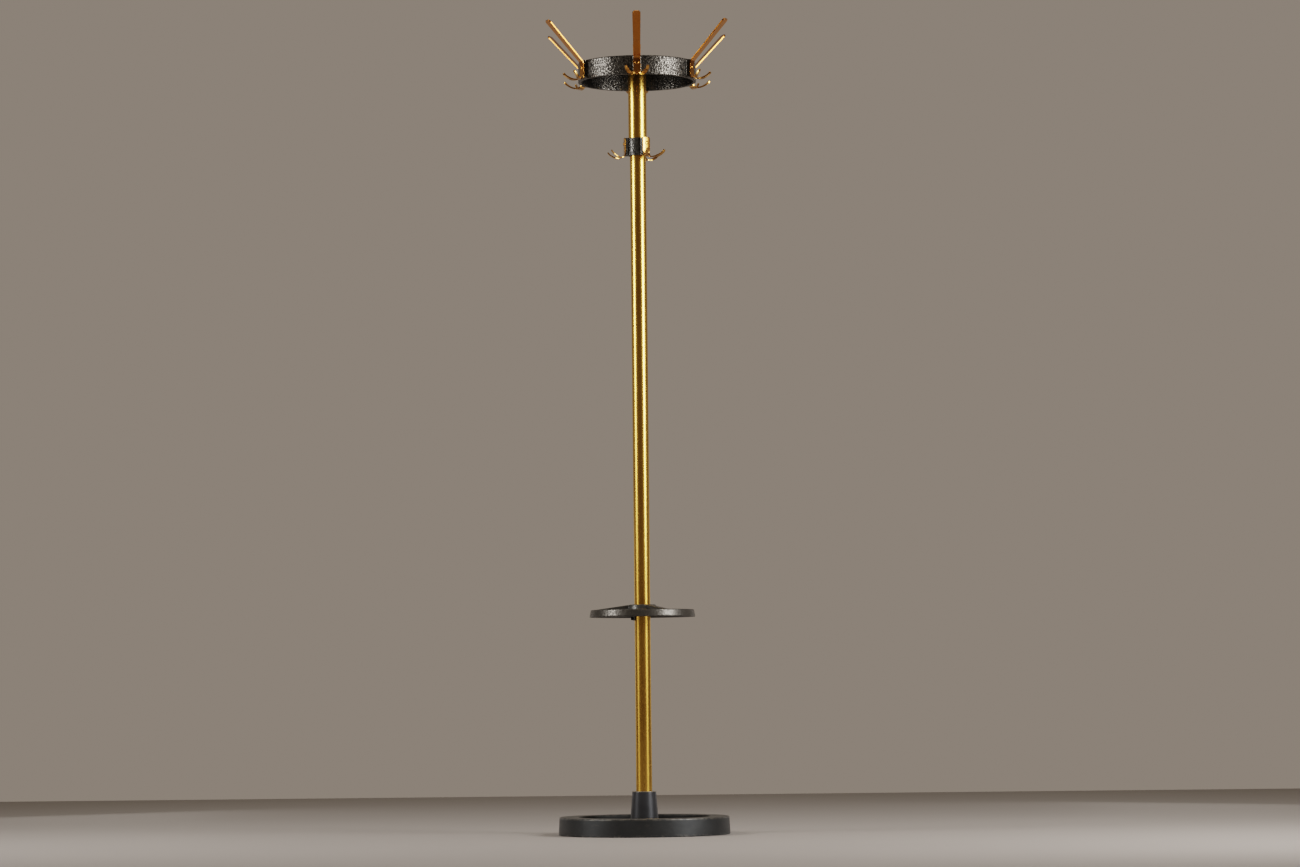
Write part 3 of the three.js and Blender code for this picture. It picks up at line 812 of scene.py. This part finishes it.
def coat_hook(number, azimuth):
    """A flat strap on the collar's pad."""
    radius, half, corner = COAT_STRAP_RADIUS, 9.5, 2.5
    top, strap_end = COLLAR_HIGH.z, COAT_LOWEST + 10.5
    rows = []
    for distance in (0, 0.2, 0.7, 1.5, corner):
        missing = corner - math.sqrt(max(0.0, corner**2 - (corner - distance) ** 2))
        rows.append(strap_row(half - missing, radius, top - distance))
    for k in range(1, 8):
        rows.append(strap_row(half, radius, top - corner - (top - corner - strap_end - 4) * k / 7))
    rows.append(strap_row(half - 0.2, radius, strap_end + 2.6))
    rows.append(strap_row(half - 0.8, radius, strap_end + 1.2))
    rows.append(strap_row(half - 1.4, radius, strap_end))
    swell = 0.9
    piece = hook_object(f"coat_hook_{number}_fine", azimuth, rows, radius, COAT_LOWEST, COAT_THICKNESS, swell)
    settle(piece, "head", "brass", f"coat_hook_{number}")
    seat = radius + COAT_THICKNESS / 2 + swell
    rivet(f"coat_hook_rivet_{number}", azimuth, COAT_RIVET, 20.3, seat, False)


def rivet(node, azimuth, sizes, inner, seat, inner_head):
    """A rivet from its inner end to its domed outer head."""
    height, shank, head, dome = sizes
    outline = [(0, inner)]
    if inner_head:
        outline = [(0, inner - dome), (head * 0.6, inner - dome * 0.85), (head * 0.9, inner - dome * 0.4),
                   (head, inner)]
    outline += [(shank, inner), (shank, seat), (head - 0.15, seat), (head, seat + 0.2)]
    for k in range(1, 8):
        turn = math.radians(90) * k / 7
        outline.append((head * math.cos(turn), seat + 0.2 + (dome - 0.2) * math.sin(turn)))
    shape = along_radius(lathe(outline, 32), azimuth, height)
    settle(mesh_object(node + "_fine", shape), "head", "brass", node)


# ---- Head ----
def top_ring():
    """A band with six pads, closed on top by a web with a hub in its middle."""
    outer, wall = 130.5, 7
    bottom, top = RING_LOW.z, RING_HIGH.z
    pad, pad_width = 137, 14.4
    edge = 0.9
    band = lathe(rounded([
        (outer - wall, bottom, edge), (outer, bottom, edge), (outer, top, edge), (outer - wall, top, edge),
    ], 3), 160)
    middle = outer - wall / 2
    pads = [radial_block(a, middle, pad, pad_width, bottom + 1.2, top - 1.2) for a in HAT_HOOK_AZIMUTHS]
    skin = casting("top_ring_skin", 1.1, 3, band, *pads)
    displace(skin, dimpled(3.6, 0.3, 0))
    settle(skin, "head", "hammered_paint", "top_ring")

    bore, hub = SLEEVE_HIGH.x + 0.6, 28
    web_top = top - 1.2
    boss = lathe(rounded([(bore, 1682, 0.5), (hub, 1682, 1.5), (hub, top, 1.5), (bore, top, 0.5)], 3), 96)
    web = lathe([(bore, web_top - 4), (outer - wall / 2, web_top - 4), (outer - wall / 2, web_top),
                 (bore, web_top)], 160)
    inside = casting("top_ring_web_skin", 1.5, 3, boss, web)
    displace(inside, dimpled(4.6, 0.22, bore + 2))
    settle(inside, "head", "hammered_paint", "top_ring")


def hook_collar():
    bottom, top = COLLAR_LOW.z, COLLAR_HIGH.z
    bore = SLEEVE_HIGH.x - TUBE_WALL + 0.1
    step = (bottom + top) / 2
    body = lathe(rounded([
        (bore, bottom, 0.3), (22, bottom, 1.2), (22, top, 1.2), (SLEEVE_HIGH.x + 0.45, top, 0.3),
        (SLEEVE_HIGH.x + 0.45, step, 0), (bore, step, 0),
    ], 3), 96)
    pads = [radial_block(a, 20.8, 28, 18, bottom, top) for a in COAT_HOOK_AZIMUTHS]
    piece = casting("hook_collar_skin", 0.5, 2, body, *pads)
    displace(piece, dimpled(3.6, 0.28, 21))
    settle(piece, "head", "hammered_paint", "hook_collar")


def hub_cap():
    top, outer = CAP_HIGH.z, CAP_HIGH.x
    seat = RING_HIGH.z + 0.3
    bore = SLEEVE_HIGH.x - TUBE_WALL
    outline = rounded([
        (0, seat - 1.5, 0), (bore - 2, seat - 1.5, 0),
        (bore - 2, CAP_LOW.z, 0.3), (bore - 0.3, CAP_LOW.z, 0.6),
        (bore - 0.3, seat, 0), (outer, seat, 0.3), (outer - 0.3, seat + 1.6, 1.0),
    ], 4)
    for k in range(9):
        reach = (outer - 1.6) * (1 - k / 9)
        outline.append((reach, top - 1.7 * (reach / outer) ** 2))
    outline.append((0, top))
    settle(mesh_object("hub_cap_fine", lathe(outline, 96)), "head", "black_plastic", "hub_cap")


def socket_screw(name, body, node, azimuth, height, profile, recess):
    """A screw along a radius whose outer end has a hexagon socket. The profile runs from the inner end."""
    flats, depth, end = recess
    outline = [*profile, (flats + 0.35, end), (flats, end - 0.3, 6), (flats, end - depth, 6),
               (0, end - depth - 0.8)]
    shape = along_radius(lathe(outline, 48), azimuth, height)
    settle(mesh_object(name, shape), body, "black_steel", node)


def grub_screw():
    inner = SLEEVE_HIGH.x + 0.3
    end = inner + 8
    profile = [(0, inner), (2, inner), (2.9, inner + 0.9), (2.9, end - 0.5), (2.4, end)]
    socket_screw("top_ring_grub_screw_fine", "head", "top_ring_grub_screw", GRUB_AZIMUTH, 1688, profile,
                 (1.5, 3, end))


# ---- Umbrella ring ----
def umbrella_ring():
    foot, radius, inner = UMBRELLA_HIGH.x, 113, 108.5
    bottom, top, hub_top = 475.5, 491.5, UMBRELLA_HIGH.z
    band = lathe(rounded([
        (inner, bottom + 3.5, 1), (inner + 3, bottom, 1), (foot, bottom, 1.4),
        (radius, top, 1.2), (inner, top, 1.2),
    ], 3), 160)
    bore = POLE_HIGH.x + 0.6
    skirt, skirt_bottom = 25, 481
    hub = lathe(rounded([
        (bore, skirt_bottom, 0.4), (skirt, skirt_bottom, 1), (skirt, 488, 1),
        (UMBRELLA_HUB, 491, 1.5), (29.2, hub_top, 2.2), (bore, hub_top, 0.8),
    ], 3), 96)
    spoke = [(bore + 2, hub_top - 9), (UMBRELLA_HUB, hub_top - 9), (inner + 2, top - 8.5),
             (inner + 2, top - 0.5), (UMBRELLA_HUB, hub_top - 1), (bore + 2, hub_top - 1)]
    spokes = [radial_prism(a, spoke, 12) for a in UMBRELLA_SPOKE_AZIMUTHS]
    lug = radial_block(CLAMP_AZIMUTH, bore + 0.2, CLAMP_LUG, 10, CLAMP_HEIGHT - 5, 484)
    piece = casting("umbrella_ring_skin", 0.85, 4, band, hub, *spokes, lug)
    displace(piece, dimpled(4.2, 0.12, 21))
    settle(piece, "umbrella_holder", "hammered_paint", "umbrella_ring")


def clamp_screw():
    """A small cap screw whose head stands clear of the lug."""
    seat = CLAMP_LUG + 0.3
    end = seat + 4.4
    shank, head = 2.5, 4
    profile = [(0, POLE_HIGH.x + 0.6), (shank - 0.7, POLE_HIGH.x + 0.6), (shank, POLE_HIGH.x + 1.2),
               (shank, seat), (head - 0.2, seat), (head, seat + 0.3), (head, end - 0.6), (head - 0.5, end)]
    recess = (2, 2.4, end)
    socket_screw("clamp_screw_fine", "clamp", "clamp_screw", CLAMP_AZIMUTH, CLAMP_HEIGHT, profile, recess)


HIDDEN = {"foot_plug": "steel", "pole_top_plug": "steel", "thrust_washer": "nylon", "pivot_washer": "steel",
          "pivot_nut": "steel", "collar_bush": "nylon", "sleeve_bush": "nylon", "bearing_plug": "steel"}


def finish_cad_nodes():
    for node, slot in HIDDEN.items():
        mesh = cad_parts[node].data
        mesh.materials.clear()
        mesh.materials.append(FINISHES[slot])


def add_floor():
    """A plain pale floor that ends behind the object."""
    f = Finish("floor", 0.0, 0.7)
    cloud = f.noise(900, 3)
    colour = f.mix(cloud, srgb(184, 181, 182), srgb(192, 189, 190))
    side, front, back = 3300, -3300, 3200
    corners = [(-side, front, 0), (side, front, 0), (side, back, 0), (-side, back, 0)]
    floor = mesh_object("floor", (corners, [(0, 1, 2, 3)]))
    floor.data.materials.append(f.finish(colour, 0.7, f.bump(f.noise(3, 3), 0.1)))


add_camera()
add_world()
add_light()
add_floor()
base_casting()
pole_socket()
tube("pole_tube_fine", "stand", "pole_tube", "gold_tube")
tube("head_sleeve_fine", "head", "head_sleeve", "gold_tube")
base_bolt()
top_ring()
hook_collar()
hub_cap()
grub_screw()
umbrella_ring()
clamp_screw()
for number, azimuth in enumerate(HAT_HOOK_AZIMUTHS, 1):
    hat_hook(number, azimuth)
for number, azimuth in enumerate(COAT_HOOK_AZIMUTHS, 1):
    coat_hook(number, azimuth)
finish_cad_nodes()

bpy.context.scene.view_settings.view_transform = "Filmic"
bpy.context.scene.view_settings.look = "High Contrast"
